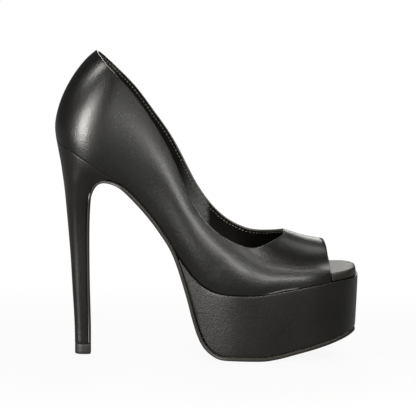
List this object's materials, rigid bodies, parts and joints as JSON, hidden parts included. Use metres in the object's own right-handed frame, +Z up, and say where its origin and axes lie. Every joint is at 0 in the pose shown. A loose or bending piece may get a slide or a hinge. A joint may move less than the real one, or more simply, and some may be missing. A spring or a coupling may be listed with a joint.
{
  "type": "peep toe platform pump with stiletto heel, right shoe",
  "caption": "Black leather peep toe pump with a covered platform and a tall stiletto heel, right shoe.",
  "frame": {"origin": "on the floor under the middle of the shoe's box", "axes": "+X towards the toe, +Y towards the inner side of the foot, +Z up"},
  "size_m": [0.2148, 0.082, 0.2167],
  "materials": {
    "upper_leather": "smooth fine-grained black leather with a satin polish",
    "lining": "smooth matt black lining leather",
    "platform_leather": "smooth fine-grained black leather, satin",
    "outsole": "thin black sheet sole with a pared edge",
    "heel_cover": "black leather drawn tight over the heel, satin",
    "top_lift": "hard matt black wearing piece"
  },
  "bodies": {
    "root": {"upper": "upper_leather", "insole": "lining", "platform": "platform_leather", "outsole": "outsole", "heel": "heel_cover", "top_lift": "top_lift"}
  },
  "joints": []
}
